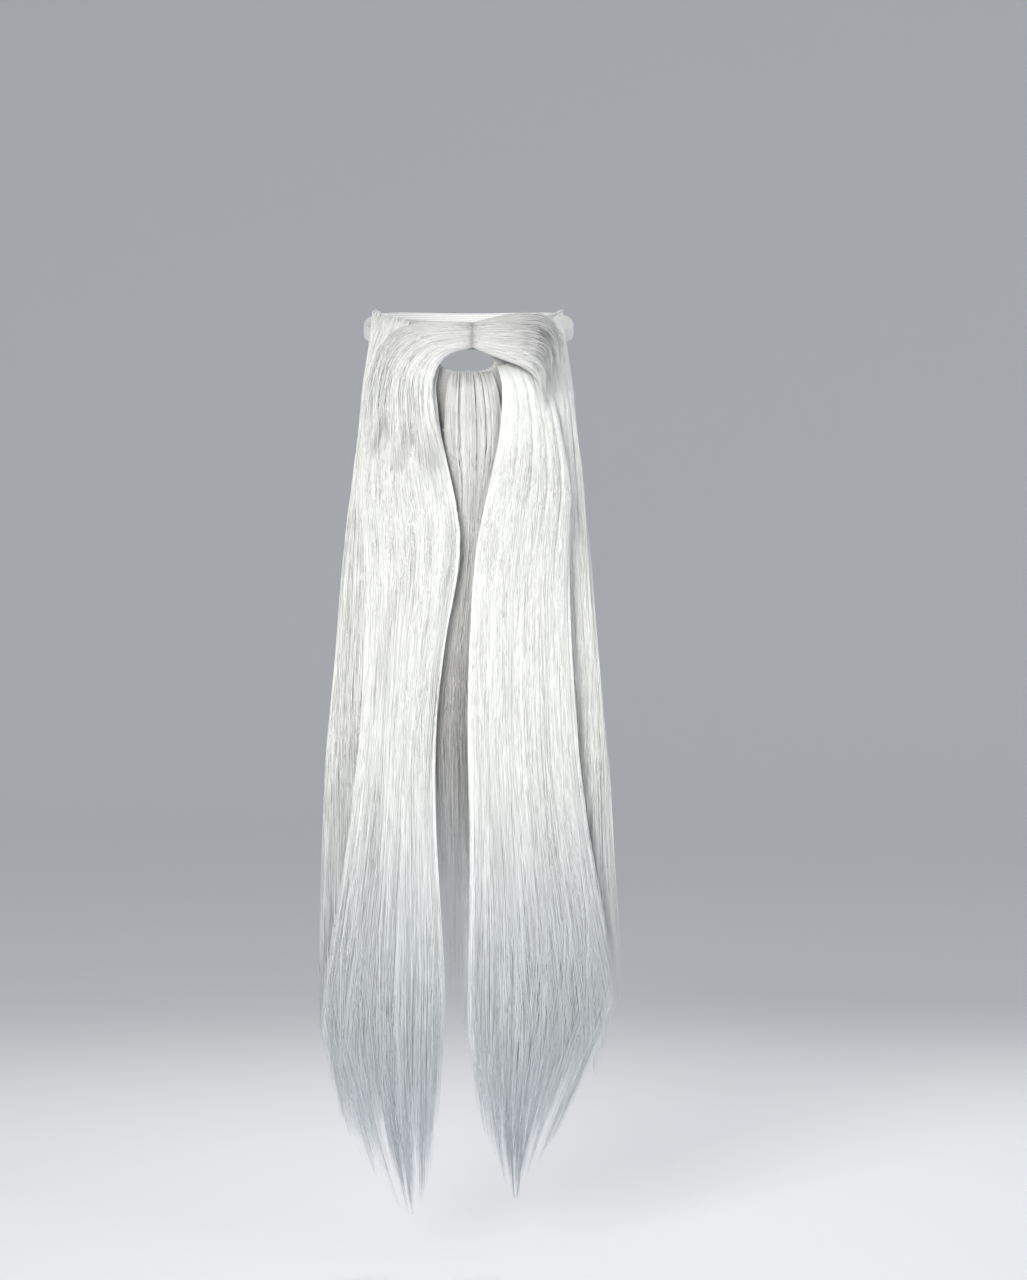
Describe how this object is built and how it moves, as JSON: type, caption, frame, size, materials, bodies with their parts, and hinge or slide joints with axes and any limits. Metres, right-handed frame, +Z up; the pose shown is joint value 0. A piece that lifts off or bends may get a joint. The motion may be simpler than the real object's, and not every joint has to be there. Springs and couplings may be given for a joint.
{
  "type": "fake beard",
  "caption": "Long costume beard with a full moustache, hair falls on a chin-shaped cloth base, open mouth hole and elastic head strap",
  "frame": {"origin": "middle of the wearer's upper lip, on the inner face of the cloth base, 5 mm below its top edge", "axes": "+Z up, -Y forwards out of the face, +X towards the wearer's left"},
  "size_m": [0.2149, 0.2395, 0.655],
  "materials": {
    "hair": "silky white synthetic hair",
    "cloth": "matt fine knit, pale grey",
    "elastic": "woven elastic, off-white"
  },
  "bodies": {
    "root": {"cloth_base": "cloth", "elastic_strap": "elastic", "neck_fall": "hair", "cheek_fall_right": "hair", "cheek_fall_left": "hair", "chin_tuft": "hair", "front_fall_right": "hair", "front_fall_left": "hair", "moustache_right": "hair", "moustache_left": "hair"}
  },
  "joints": []
}
